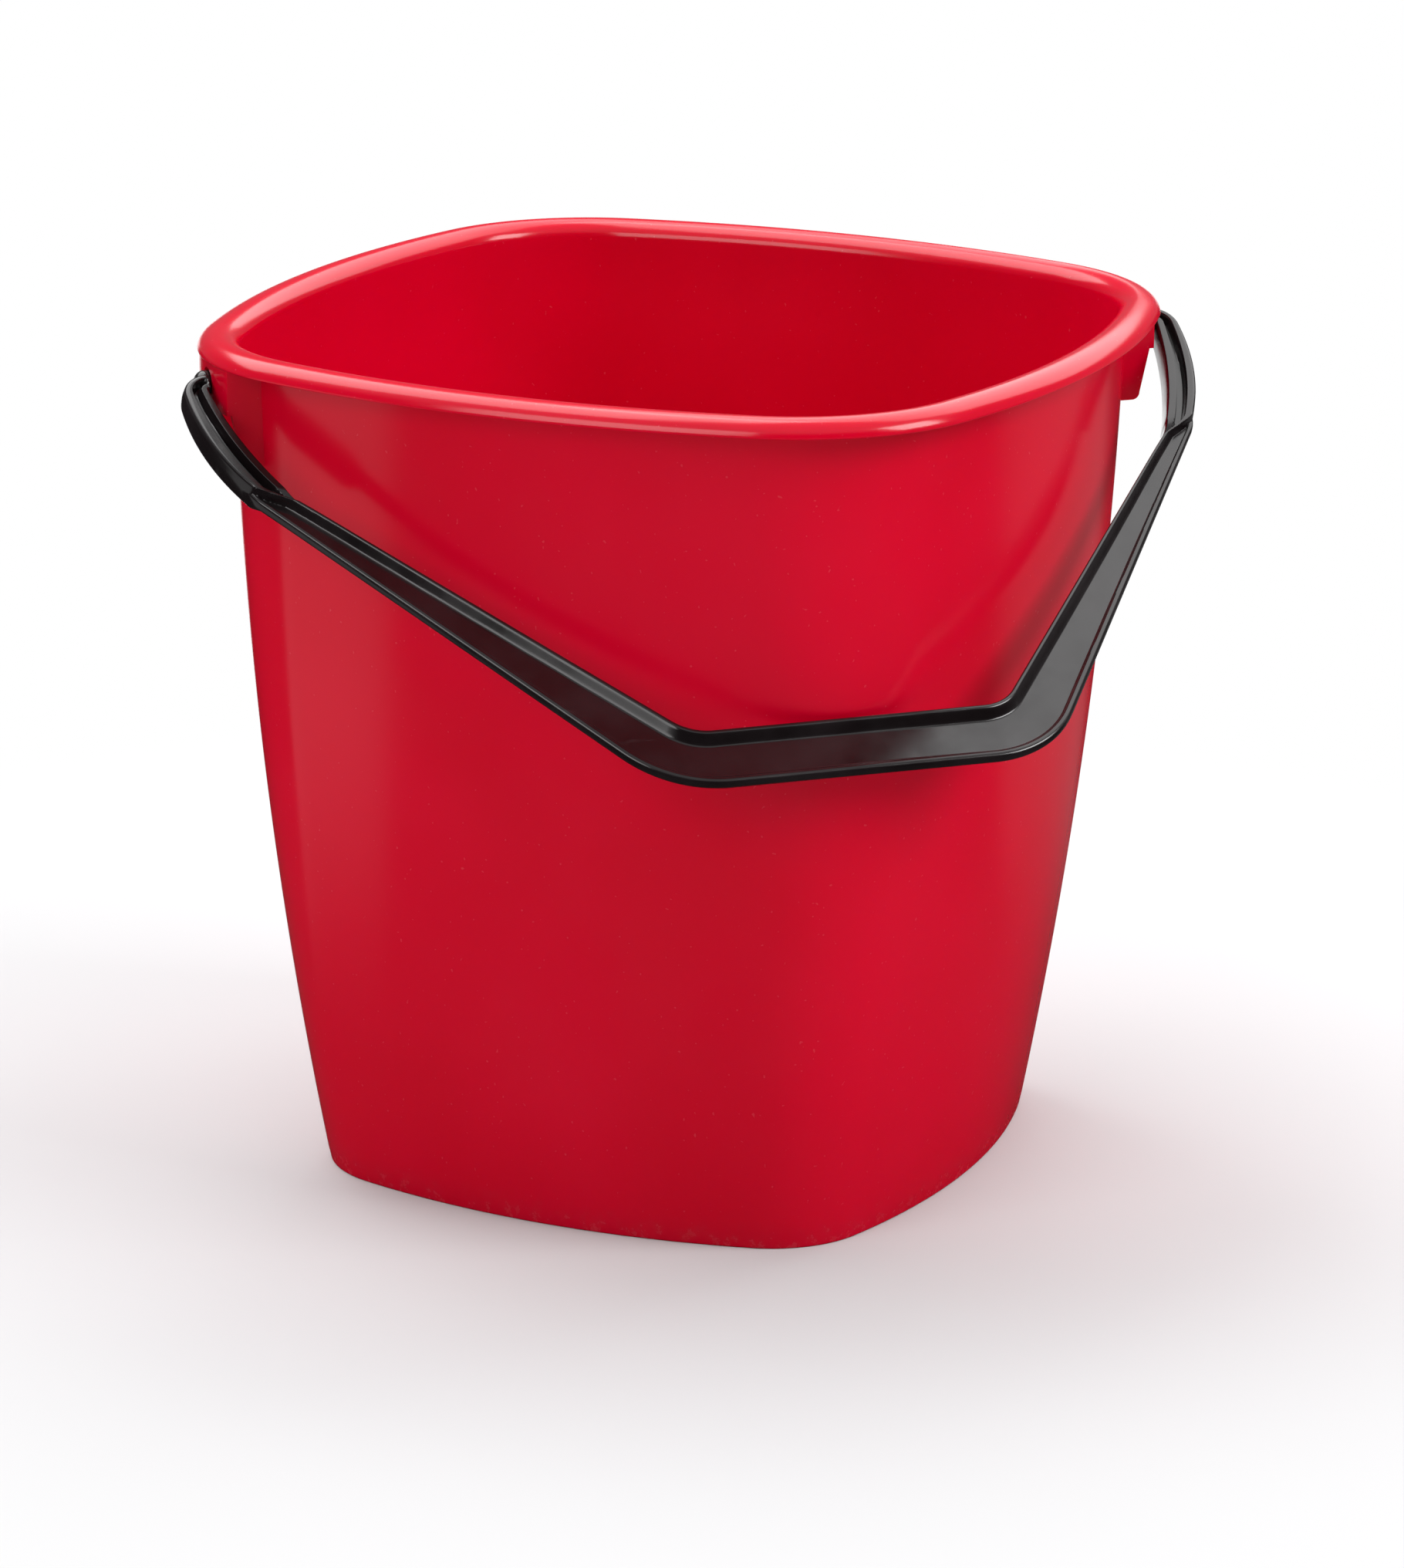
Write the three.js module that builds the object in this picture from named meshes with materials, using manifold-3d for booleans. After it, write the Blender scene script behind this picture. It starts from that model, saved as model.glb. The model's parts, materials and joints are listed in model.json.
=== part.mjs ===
// Household bucket with a swinging bail handle, in millimetres, +Z up.
//
// The bucket is one thin-walled moulding that stands on z = 0. In plan it is a square with bulging
// sides and round corners, and its corners lie on the X and Y axes. The bail is a second moulding.
// It turns on the X axis, on two pins that sit in the lugs under the rim at the +X and -X corners,
// and it rests against the -Y corner.

import * as THREE from 'three';
import { mergeVertices } from 'three/addons/utils/BufferGeometryUtils.js';
import Module from 'manifold-3d';

const wasm = await Module();
wasm.setup();

// ---------------------------------------------------------------- driving dimensions

// Bucket: a plan has a half-width over the flats, a corner radius and the rise of each side's bulge.
const HEIGHT = 280;
const TOP = { half: 131.7, corner: 58, rise: 29 };
const BASE = { half: 104.3, corner: 36.4, rise: 21.9 };
const PROFILE_BULGE = 0.714; // how far the flared wall bows outwards, as a share of the flare

const WALL = 2.2;
const FLOOR = 2.8;
const FOOT_WIDTH = 5;
const FOOT_HEIGHT = 3;
const FOOT_EDGE = 0.8;
const FLOOR_FILLET = 6;

// Rim: a half-round roll as thick as the wall, open underneath.
const RIM_REACH = 11.3; // from the wall's outer face to the lip
const RIM_RISE = 5.6; // from the lip's lower edge to the top

// Lugs: a short curved plate with the pivot hole, between two longer gussets.
const PIVOT_BELOW_TOP = 12.5;
const PIN_RADIUS = 4;
const HOLE_CLEARANCE = 0.9; // radial
const LUG_HALF_WIDTH = 16;
const LUG_PLATE = 2.4;
const LUG_INSET = 0.6; // of the plate's outer face, from the lip
const LUG_BELOW_HOLE = 2.6;
const GUSSET_DEPTH = 37; // from the top of the bucket
const GUSSET_THICKNESS = 2.2;
const GUSSET_INSET = 1.8; // of the gusset's outer edge, from the plate's outer face
const GUSSET_TAPER = 3.2;
const GUSSET_NOSE = 2.5;

// Bail, laid flat: x runs along the pivot axis, and reach is the distance from that axis.
const REST_GAP = 0.3; // between the resting grip and the bucket's corner
const GRIP_SWING_GAP = 8.2; // between the rim's corner and the grip, as the bail swings past
const ARM_SWING_GAP = 6.2; // between the rim's sides and the lower arms, as the bail swings past
const GRIP_WIDTH = 20;
const GRIP_INNER_HALF = 51.5; // from the middle to where the grip's inner edge meets the arm's
const GRIP_OUTER_HALF = 62.8;
const GRIP_INNER_RADIUS = 15;
const GRIP_OUTER_RADIUS = 38;
const ARM_WIDTH = 8.6; // of the upper arm
const ARM_BOW = 2.8; // of the upper arm's outer edge, outwards
const ARM_INNER_BOW = 1.9;
const ARM_GAP = 1.1; // between the rim's lip and the arm
const KINK_INSET = 13.3; // of the kink's inner edge, from the rim's lip
const KINK_WIDTH = 12; // across the kink, along x
const KINK_SLANT = 3; // the outer edge turns this much nearer the pivot
const KINK_RADIUS = 18;
const SHOULDER_REACH = 9; // where the arm turns in to the pin
const SHOULDER_RADIUS = 9;
const SHOULDER_TOP = 0.2; // of the arm's top edge, past the pivot axis
const BOSS_GAP = 0.5; // between the rim's lip and the arm's end
const BOSS_WIDTH = 7.6; // of the arm's end, across the pin
const PIN_END_GAP = 2.4; // between the pin's end and the wall
const PIN_CHAMFER = 1;

const RIB_HEIGHT = 4.6; // heights are from the bail's middle plane
const WEB_HEIGHT = 1.2;
const BEAD_HEIGHT = 1.9;
const BACK_DEPTH = 1.5; // of the smooth back of the grip and lower arms
const RIB_WIDTH = 4.6;
const FLANGE_WIDTH = 3.2;
const BEAD_WIDTH = 3.2;
const BUMP_POWER = 3; // how square the ribs are: 2 is elliptical

// How finely curves are cut into facets.
const SIDE_STEPS = 8;
const CORNER_STEPS = 8;
const WALL_STEPS = 7;
const ROLL_STEPS = 8;
const HOLLOW_STEPS = 5;
const FILLET_STEPS = 3;
const PLATE_STEPS = 6;
const GUSSET_STEPS = 5;
const NOSE_STEPS = 3;
const ROUND_SIDES = 24;
const GRIP_STEPS = 3;
const BEND_STEPS = 6;
const ARM_STEPS = 7;
const KINK_STEPS = 4;
const UPPER_STEPS = 5;
const SHOULDER_STEPS = 5;
const SECTION_STEPS = 12;

// ---------------------------------------------------------------- sizes that follow

const PIVOT_HEIGHT = HEIGHT - PIVOT_BELOW_TOP;
const RIM_BOTTOM = HEIGHT - RIM_RISE;
const HOLE_RADIUS = PIN_RADIUS + HOLE_CLEARANCE;
const LUG_TOP = RIM_BOTTOM + RIM_RISE / 3; // inside the rim's skin
const LUG_BOTTOM = PIVOT_HEIGHT - HOLE_RADIUS - LUG_BELOW_HOLE;
const ROLL_HALF = (RIM_REACH + WALL) / 2;
const WELD = 1e-4;
const { lerp, smoothstep } = THREE.MathUtils;

// ---------------------------------------------------------------- materials

const red = new THREE.MeshStandardMaterial({ color: 0xc8001f, roughness: 0.32, metalness: 0 });
const black = new THREE.MeshStandardMaterial({ color: 0x17110f, roughness: 0.22, metalness: 0 });

// ---------------------------------------------------------------- solids and booleans

function toSolid(geometry) {
  const bare = geometry.index ? geometry.toNonIndexed() : geometry.clone();
  bare.deleteAttribute('normal');
  bare.deleteAttribute('uv');
  const merged = mergeVertices(bare, WELD);
  return new wasm.Manifold(new wasm.Mesh({
    numProp: 3,
    vertProperties: new Float32Array(merged.attributes.position.array),
    triVerts: new Uint32Array(merged.index.array),
  }));
}

function toGeometry(solid) {
  const mesh = solid.getMesh();
  const geometry = new THREE.BufferGeometry();
  geometry.setAttribute('position', new THREE.BufferAttribute(new Float32Array(mesh.vertProperties), 3));
  geometry.setIndex(new THREE.BufferAttribute(new Uint32Array(mesh.triVerts), 1));
  geometry.computeVertexNormals();
  return geometry;
}

// Joins rings of equal length into a closed skin. Each end is closed by a fan from its own middle.
function loft(rings) {
  const positions = [];
  const indices = [];
  const count = rings[0].length;
  rings.flat().forEach((point) => positions.push(point.x, point.y, point.z));
  const at = (ring, i) => ring * count + (i % count);
  for (let ring = 0; ring + 1 < rings.length; ring += 1) {
    for (let i = 0; i < count; i += 1) {
      indices.push(at(ring, i), at(ring, i + 1), at(ring + 1, i + 1));
      indices.push(at(ring, i), at(ring + 1, i + 1), at(ring + 1, i));
    }
  }
  const middle = (ring) => {
    const sum = ring.reduce((total, point) => total.add(point), new THREE.Vector3());
    return sum.divideScalar(count);
  };
  const addFan = (ring, flip) => {
    const hub = positions.length / 3;
    const centre = middle(rings[ring]);
    positions.push(centre.x, centre.y, centre.z);
    for (let i = 0; i < count; i += 1) {
      if (flip) {
        indices.push(hub, at(ring, i + 1), at(ring, i));
      } else {
        indices.push(hub, at(ring, i), at(ring, i + 1));
      }
    }
  };
  addFan(0, true);
  addFan(rings.length - 1, false);
  const geometry = new THREE.BufferGeometry();
  geometry.setAttribute('position', new THREE.Float32BufferAttribute(positions, 3));
  geometry.setIndex(indices);
  return geometry;
}

// ---------------------------------------------------------------- the bucket's plan

// The bucket's plan at a height: sizes grow from the base's to the top's.
function planAt(height) {
  const share = height / HEIGHT;
  const flare = share + PROFILE_BULGE * share * (1 - share);
  return {
    half: lerp(BASE.half, TOP.half, flare),
    corner: lerp(BASE.corner, TOP.corner, share),
    rise: lerp(BASE.rise, TOP.rise, share),
  };
}

// The arcs of a plan: each side is an arc about a far centre, and a corner arc meets it tangentially.
function arcsOf(plan) {
  const sideRadius = (plan.half ** 2 + plan.rise ** 2) / (2 * plan.rise);
  const back = sideRadius - plan.half;
  const reach = sideRadius - plan.corner;
  const centre = (Math.sqrt(2 * reach ** 2 - back ** 2) - back) / 2;
  const meet = Math.atan2(centre, centre + back);
  return { sideRadius, back, centre, meet, corner: plan.corner };
}

// One ring round the bucket, moved outwards from the plan by an offset.
function ringAt(plan, offset, z) {
  const arcs = arcsOf(plan);
  const ring = [];
  for (let side = 0; side < 4; side += 1) {
    const turn = Math.PI / 4 + side * Math.PI / 2;
    const add = (u, v) => ring.push(new THREE.Vector3(
      u * Math.cos(turn) - v * Math.sin(turn),
      u * Math.sin(turn) + v * Math.cos(turn),
      z,
    ));
    for (let i = 0; i < SIDE_STEPS; i += 1) {
      const angle = arcs.meet * (2 * i / SIDE_STEPS - 1);
      const radius = arcs.sideRadius + offset;
      add(radius * Math.cos(angle) - arcs.back, radius * Math.sin(angle));
    }
    for (let i = 0; i < CORNER_STEPS; i += 1) {
      const angle = lerp(arcs.meet, Math.PI / 2 - arcs.meet, i / CORNER_STEPS);
      const radius = arcs.corner + offset;
      add(arcs.centre + radius * Math.cos(angle), arcs.centre + radius * Math.sin(angle));
    }
  }
  return ring;
}

// The corner arc on the X axis: its centre's x and its radius.
function cornerAt(height) {
  const arcs = arcsOf(planAt(height));
  return { x: arcs.centre * Math.SQRT2, radius: arcs.corner };
}

function wallX(height, y) {
  const corner = cornerAt(height);
  return corner.x + Math.sqrt(corner.radius ** 2 - y ** 2);
}

// ---------------------------------------------------------------- bucket body

function bodyShell() {
  const rings = [];
  const add = (offset, z, planHeight = z) => rings.push(ringAt(planAt(planHeight), offset, z));

  // Underside, the foot and the outside of the wall.
  add(-FOOT_WIDTH, FOOT_HEIGHT, 0);
  add(-FOOT_WIDTH, 0);
  add(-FOOT_EDGE, 0);
  add(0, FOOT_EDGE);
  for (let i = 1; i <= WALL_STEPS; i += 1) {
    add(0, lerp(FOOT_EDGE, RIM_BOTTOM, i / WALL_STEPS));
  }

  // The roll's hollow, from the wall to the lip, then over the roll from the lip to the inside.
  const addRoll = (angle, half, rise) => add(
    RIM_REACH - ROLL_HALF + half * Math.cos(angle),
    RIM_BOTTOM + rise * Math.sin(angle),
    RIM_BOTTOM,
  );
  for (let i = 1; i <= HOLLOW_STEPS; i += 1) {
    addRoll(Math.PI * (1 - i / HOLLOW_STEPS), ROLL_HALF - WALL, RIM_RISE - WALL);
  }
  for (let i = 0; i <= ROLL_STEPS; i += 1) {
    addRoll(Math.PI * i / ROLL_STEPS, ROLL_HALF, RIM_RISE);
  }

  // Inside of the wall, the fillet at its foot and the floor.
  const filletTop = FOOT_HEIGHT + FLOOR + FLOOR_FILLET;
  for (let i = 1; i <= WALL_STEPS; i += 1) {
    add(-WALL, lerp(RIM_BOTTOM, filletTop, i / WALL_STEPS));
  }
  for (let i = 1; i <= FILLET_STEPS; i += 1) {
    const angle = Math.PI / 2 * i / FILLET_STEPS;
    const inset = FLOOR_FILLET * (1 - Math.cos(angle));
    add(-WALL - inset, filletTop - FLOOR_FILLET * Math.sin(angle), filletTop);
  }
  return toSolid(loft(rings));
}

// The plate with the pivot hole: a strip that follows the rim's corner, on the +X side.
function lugPlate() {
  const corner = cornerAt(RIM_BOTTOM);
  const outer = corner.radius + RIM_REACH - LUG_INSET;
  const inner = outer - LUG_PLATE;
  const shape = new THREE.Shape();
  const outerHalf = Math.asin(LUG_HALF_WIDTH / outer);
  const innerHalf = Math.asin(LUG_HALF_WIDTH / inner);
  shape.absarc(corner.x, 0, outer, -outerHalf, outerHalf, false);
  shape.absarc(corner.x, 0, inner, innerHalf, -innerHalf, true);
  const geometry = new THREE.ExtrudeGeometry(shape, {
    depth: LUG_TOP - LUG_BOTTOM,
    bevelEnabled: false,
    curveSegments: PLATE_STEPS,
  });
  geometry.translate(0, 0, LUG_BOTTOM);
  return toSolid(geometry);
}

// The rim's outermost x, at the middle of the lug.
function lipX() {
  return wallX(RIM_BOTTOM, 0) + RIM_REACH;
}

// A gusset joins the plate's edge to the wall and runs on down the wall. Its middle is at this y.
function lugGusset(y) {
  const corner = cornerAt(RIM_BOTTOM);
  const plateRadius = corner.radius + RIM_REACH - LUG_INSET;
  const edge = corner.x + Math.sqrt(plateRadius ** 2 - y ** 2) - GUSSET_INSET;
  const bottom = HEIGHT - GUSSET_DEPTH;
  const shape = new THREE.Shape();
  shape.moveTo(edge, LUG_TOP);
  shape.lineTo(wallX(RIM_BOTTOM, y) + RIM_REACH - ROLL_HALF, HEIGHT - WALL / 2);
  for (let i = 0; i <= GUSSET_STEPS; i += 1) {
    const z = lerp(LUG_TOP, bottom, i / GUSSET_STEPS);
    shape.lineTo(wallX(Math.min(z, RIM_BOTTOM), y) - WALL / 2, z);
  }
  shape.lineTo(edge - GUSSET_TAPER - GUSSET_NOSE, bottom);
  shape.quadraticCurveTo(edge - GUSSET_TAPER, bottom, edge - GUSSET_TAPER, bottom + GUSSET_NOSE);
  shape.lineTo(edge, LUG_BOTTOM);
  shape.closePath();
  const geometry = new THREE.ExtrudeGeometry(shape, {
    depth: GUSSET_THICKNESS,
    bevelEnabled: false,
    curveSegments: NOSE_STEPS,
  });
  geometry.rotateX(Math.PI / 2);
  geometry.translate(0, y + GUSSET_THICKNESS / 2, 0);
  return toSolid(geometry);
}

function pivotHole() {
  const from = lipX() - LUG_INSET - LUG_PLATE * 2;
  const to = lipX() + LUG_PLATE;
  const geometry = new THREE.CylinderGeometry(HOLE_RADIUS, HOLE_RADIUS, to - from, ROUND_SIDES);
  geometry.rotateZ(Math.PI / 2);
  geometry.translate((from + to) / 2, 0, PIVOT_HEIGHT);
  return toSolid(geometry);
}

function bucketBody() {
  const gussetY = LUG_HALF_WIDTH - GUSSET_THICKNESS / 2;
  const lug = lugPlate().add(lugGusset(gussetY)).add(lugGusset(-gussetY)).subtract(pivotHole());
  const farLug = lug.rotate([0, 0, 180]);
  const mesh = new THREE.Mesh(toGeometry(bodyShell().add(lug).add(farLug)), red);
  mesh.name = 'bucket_body';
  return mesh;
}

// ---------------------------------------------------------------- bail handle

// Points along an arc that rounds the corner at b between a and c.
function roundedCorner(a, b, c, radius, steps) {
  const toA = a.clone().sub(b).normalize();
  const toC = c.clone().sub(b).normalize();
  const half = Math.acos(THREE.MathUtils.clamp(toA.dot(toC), -1, 1)) / 2;
  const tangent = radius / Math.tan(half);
  const centre = b.clone().add(toA.clone().add(toC).normalize().multiplyScalar(radius / Math.sin(half)));
  const start = b.clone().addScaledVector(toA, tangent).sub(centre);
  const end = b.clone().addScaledVector(toC, tangent).sub(centre);
  const sweep = Math.atan2(start.cross(end), start.dot(end));
  const points = [];
  for (let i = 0; i <= steps; i += 1) {
    points.push(start.clone().rotateAround(new THREE.Vector2(), sweep * i / steps).add(centre));
  }
  return points;
}

// Points from a to b, bowed sideways by an arc's rise, without the two ends.
function bowedBetween(a, b, bow, steps) {
  const along = b.clone().sub(a);
  const side = new THREE.Vector2(-along.y, along.x).normalize();
  const points = [];
  for (let i = 1; i < steps; i += 1) {
    const share = i / steps;
    points.push(a.clone().addScaledVector(along, share).addScaledVector(side, 4 * bow * share * (1 - share)));
  }
  return points;
}

// One edge of the half bail, from the grip's middle to the pin boss, in (x, reach).
function bailEdge({ bend, bendRadius, kink, bow, shoulder, shoulderRadius, bossEnd }) {
  const middle = new THREE.Vector2(0, bend.y);
  const bendArc = roundedCorner(middle, bend, kink, bendRadius, BEND_STEPS);
  const kinkArc = roundedCorner(bend, kink, shoulder, KINK_RADIUS, KINK_STEPS);
  const shoulderCorner = new THREE.Vector2(shoulder.x, bossEnd.y);
  const shoulderArc = roundedCorner(shoulder, shoulderCorner, bossEnd, shoulderRadius, SHOULDER_STEPS);
  return [
    middle,
    ...bowedBetween(middle, bendArc[0], 0, GRIP_STEPS),
    ...bendArc,
    ...bowedBetween(bendArc.at(-1), kinkArc[0], 0, ARM_STEPS),
    ...kinkArc,
    ...bowedBetween(kinkArc.at(-1), shoulderArc[0], bow, UPPER_STEPS),
    ...shoulderArc,
    bossEnd,
  ];
}

// Where the lower arm's inner edge, which starts at the grip's bend and passes the rim's bulging
// side at the swing gap, gets to the kink's x.
function kinkFrom(bend, kinkX) {
  const arcs = arcsOf(planAt(HEIGHT));
  const centre = new THREE.Vector2(-arcs.back, -arcs.back).multiplyScalar(Math.SQRT1_2);
  const fromCentre = bend.clone().sub(centre);
  const clear = arcs.sideRadius + RIM_REACH + ARM_SWING_GAP;
  const normal = fromCentre.angle() - Math.acos(clear / fromCentre.length());
  return new THREE.Vector2(kinkX, bend.y - (kinkX - bend.x) / Math.tan(normal));
}

function gripReach() {
  return Math.hypot(lipX(), PIVOT_BELOW_TOP) + GRIP_SWING_GAP;
}

// A rounded bump across the section: its height at a distance from its middle.
function bump(distance, halfWidth, height) {
  const share = Math.min(Math.abs(distance) / halfWidth, 1);
  return height * (1 - share ** BUMP_POWER) ** (1 / BUMP_POWER);
}

// The section's front and back at a distance x from its inner edge, from the bail's middle plane.
// Cross goes from 0 on the upper arm to 1 on the lower arm: the upper arm's outer flange crosses
// over and becomes the lower arm's inner rib. Solid goes to 1 where the arm is a solid boss.
function sectionAt(x, width, { cross, solid }) {
  const ribWidth = lerp(FLANGE_WIDTH, RIB_WIDTH, cross);
  const ribAt = lerp(width - ribWidth / 2, ribWidth / 2, cross);
  const boss = bump(x - width / 2, width / 2, RIB_HEIGHT * solid);
  const shared = Math.max(boss, bump(x - width / 2, width / 2, WEB_HEIGHT));
  const flanges = Math.max(
    bump(x - ribAt, ribWidth / 2, RIB_HEIGHT),
    bump(x - FLANGE_WIDTH / 2, FLANGE_WIDTH / 2, RIB_HEIGHT),
  );
  const bead = bump(x - width + BEAD_WIDTH / 2, BEAD_WIDTH / 2, BEAD_HEIGHT * cross);
  const back = bump(x - width / 2, width / 2, BACK_DEPTH);
  return {
    front: Math.max(shared, flanges, bead),
    back: Math.max(shared, flanges * (1 - cross), back),
  };
}

// The half bail's stations, from the grip's middle to the pin boss.
function bailStations() {
  const lip = lipX();
  const boss = lip + BOSS_GAP;
  const arm = lip + ARM_GAP;
  const innerBend = new THREE.Vector2(GRIP_INNER_HALF, gripReach());
  const innerKink = kinkFrom(innerBend, lip - KINK_INSET);
  const inner = bailEdge({
    bend: innerBend,
    bendRadius: GRIP_INNER_RADIUS,
    kink: innerKink,
    bow: ARM_INNER_BOW,
    shoulder: new THREE.Vector2(arm, SHOULDER_REACH),
    shoulderRadius: (ARM_GAP - BOSS_GAP) / 2,
    bossEnd: new THREE.Vector2(boss, BOSS_WIDTH - SHOULDER_TOP),
  });
  const outer = bailEdge({
    bend: new THREE.Vector2(GRIP_OUTER_HALF, gripReach() + GRIP_WIDTH),
    bendRadius: GRIP_OUTER_RADIUS,
    kink: innerKink.clone().add(new THREE.Vector2(KINK_WIDTH, -KINK_SLANT)),
    bow: ARM_BOW,
    shoulder: new THREE.Vector2(arm + ARM_WIDTH, SHOULDER_REACH),
    shoulderRadius: SHOULDER_RADIUS,
    bossEnd: new THREE.Vector2(boss, -SHOULDER_TOP),
  });
  const kinkStart = GRIP_STEPS + BEND_STEPS + ARM_STEPS;
  const kinkEnd = kinkStart + KINK_STEPS;
  const shoulderStart = kinkEnd + UPPER_STEPS;
  return inner.map((innerPoint, i) => ({
    inner: innerPoint,
    outer: outer[i],
    cross: 1 - smoothstep(i, kinkStart - 1, kinkEnd + 1),
    solid: smoothstep(i, shoulderStart - 1, shoulderStart + SHOULDER_STEPS - 1),
  }));
}

// The section at a station, as a ring: over the front from the inner edge, and back behind.
function bailRing(station, mirror) {
  const width = station.outer.distanceTo(station.inner);
  const front = [];
  const back = [];
  for (let i = 0; i <= SECTION_STEPS; i += 1) {
    const share = (1 - Math.cos(Math.PI * i / SECTION_STEPS)) / 2;
    const at = station.inner.clone().lerp(station.outer, share);
    const section = sectionAt(share * width, width, station);
    const edge = i === 0 || i === SECTION_STEPS;
    front.push(new THREE.Vector3(mirror * at.x, -at.y, edge ? 0 : section.front));
    if (!edge) {
      back.unshift(new THREE.Vector3(mirror * at.x, -at.y, -section.back));
    }
  }
  return [...front, ...back];
}

// The angle below level at which the grip's middle comes to rest against the bucket's corner.
function restAngle() {
  const step = 0.001;
  const axis = new THREE.Vector3(1, 0, 0);
  const grip = bailRing(bailStations()[0], 1);
  let angle = Math.PI / 2;
  let gap = -1;
  while (gap < REST_GAP) {
    angle -= step;
    const gaps = grip.map((point) => {
      const turned = point.clone().applyAxisAngle(axis, angle);
      return -turned.y - wallX(Math.max(turned.z + PIVOT_HEIGHT, 0), 0);
    });
    gap = Math.min(...gaps);
  }
  return angle;
}

function pin(side) {
  const from = wallX(PIVOT_HEIGHT, 0) + PIN_END_GAP;
  const to = lipX() + BOSS_GAP + PIN_RADIUS / 2;
  const profile = [
    new THREE.Vector2(0, from),
    new THREE.Vector2(PIN_RADIUS - PIN_CHAMFER, from),
    new THREE.Vector2(PIN_RADIUS, from + PIN_CHAMFER),
    new THREE.Vector2(PIN_RADIUS, to),
    new THREE.Vector2(0, to),
  ];
  const geometry = new THREE.LatheGeometry(profile, ROUND_SIDES);
  geometry.rotateZ(-side * Math.PI / 2);
  return toSolid(geometry);
}

function bailHandle() {
  const stations = bailStations();
  const left = stations.slice(1).reverse().map((station) => bailRing(station, -1));
  const right = stations.map((station) => bailRing(station, 1));
  const frame = toSolid(loft([...left, ...right]));
  const mesh = new THREE.Mesh(toGeometry(frame.add(pin(1)).add(pin(-1))), black);
  mesh.name = 'bail_handle';
  mesh.position.set(0, 0, PIVOT_HEIGHT);
  mesh.rotation.x = restAngle();
  return mesh;
}

// ---------------------------------------------------------------- assembly

const bucket = new THREE.Group();
bucket.add(bucketBody());
bucket.add(bailHandle());

export default bucket;
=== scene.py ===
"""Looks of the household bucket: a fine red body and a fine black bail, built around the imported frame."""

import json
import math

import bmesh
import bpy
import numpy as np
from mathutils import Matrix, Vector


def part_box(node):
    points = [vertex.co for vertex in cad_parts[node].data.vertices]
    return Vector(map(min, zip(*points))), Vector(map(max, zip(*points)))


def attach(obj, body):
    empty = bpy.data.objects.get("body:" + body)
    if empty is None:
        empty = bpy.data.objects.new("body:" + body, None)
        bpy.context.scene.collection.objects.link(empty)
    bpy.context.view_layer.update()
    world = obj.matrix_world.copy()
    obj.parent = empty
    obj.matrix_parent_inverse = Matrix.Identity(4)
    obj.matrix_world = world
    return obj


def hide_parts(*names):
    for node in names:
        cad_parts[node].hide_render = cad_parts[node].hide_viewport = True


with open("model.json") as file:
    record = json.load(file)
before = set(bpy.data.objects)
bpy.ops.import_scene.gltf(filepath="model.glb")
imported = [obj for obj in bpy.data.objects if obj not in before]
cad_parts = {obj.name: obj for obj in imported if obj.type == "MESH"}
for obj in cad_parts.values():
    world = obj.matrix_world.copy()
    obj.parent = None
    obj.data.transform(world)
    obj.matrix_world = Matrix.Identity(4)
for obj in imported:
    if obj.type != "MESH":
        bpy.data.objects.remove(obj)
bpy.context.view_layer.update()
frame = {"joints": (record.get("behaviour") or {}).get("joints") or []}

# ---------------------------------------------------------------- sizes, in units of the real millimetre

body_lo, body_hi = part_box("bucket_body")
HEIGHT = 280.0
UNIT = (body_hi.z - body_lo.z) / HEIGHT
swing = frame["joints"][0]
PIVOT_Z = swing["pos_m"][2] / UNIT

TOP = {"half": 131.7, "corner": 58.0, "rise": 29.0}
BASE = {"half": 104.3, "corner": 36.4, "rise": 21.9}
PROFILE_BULGE = 0.714
WALL = 2.2
FLOOR = 2.8
FOOT_WIDTH = 5.0
FOOT_HEIGHT = 3.0
FOOT_EDGE = 0.8
FLOOR_FILLET = 6.0
FOOT_ROUND = 1.0
DIMPLE_DEPTH = 0.6
DIMPLE_SHARE = 0.052
RIM_REACH = 11.3
RIM_RISE = 5.6
LIP_ROUND = 0.55
ROLL_HALF = (RIM_REACH + WALL) / 2
RIM_BOTTOM = HEIGHT - RIM_RISE

PIN_RADIUS = 4.0
HOLE_RADIUS = 4.9
LUG_HALF_WIDTH = 16.0
LUG_PLATE = 2.4
LUG_INSET = 0.6
LUG_BELOW_HOLE = 2.6
LUG_TOP = RIM_BOTTOM + RIM_RISE / 3
LUG_BOTTOM = PIVOT_Z - HOLE_RADIUS - LUG_BELOW_HOLE
GUSSET_DEPTH = 37.0
GUSSET_THICKNESS = 2.2
GUSSET_INSET = 1.8
GUSSET_TAPER = 3.2
GUSSET_NOSE = 2.5
LUG_BEVEL = 0.42
DRILL_LENGTH = 12.0
DRILL_START = 8.0

REST_GAP = 0.3
GRIP_SWING_GAP = 8.2
ARM_SWING_GAP = 6.2
GRIP_WIDTH = 20.0
GRIP_INNER_HALF = 51.5
GRIP_OUTER_HALF = 62.8
GRIP_INNER_RADIUS = 15.0
GRIP_OUTER_RADIUS = 38.0
ARM_WIDTH = 8.58
ARM_BOW = 2.8
ARM_INNER_BOW = 1.9
ARM_GAP = 1.1
KINK_INSET = 13.3
KINK_WIDTH = 12.0
KINK_SLANT = 3.0
KINK_RADIUS = 18.0
SHOULDER_REACH = 9.0
SHOULDER_RADIUS = 9.0
SHOULDER_TOP = 0.2
BOSS_GAP = 0.5
BOSS_WIDTH = 7.6
PIN_END_GAP = 2.4
PIN_CHAMFER = 1.0
RIB_HEIGHT = 4.6
WEB_HEIGHT = 1.2
BEAD_HEIGHT = 1.9
BACK_DEPTH = 1.5
WEB_SAG = 0.15
RIB_FLANK = 1.1
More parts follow.
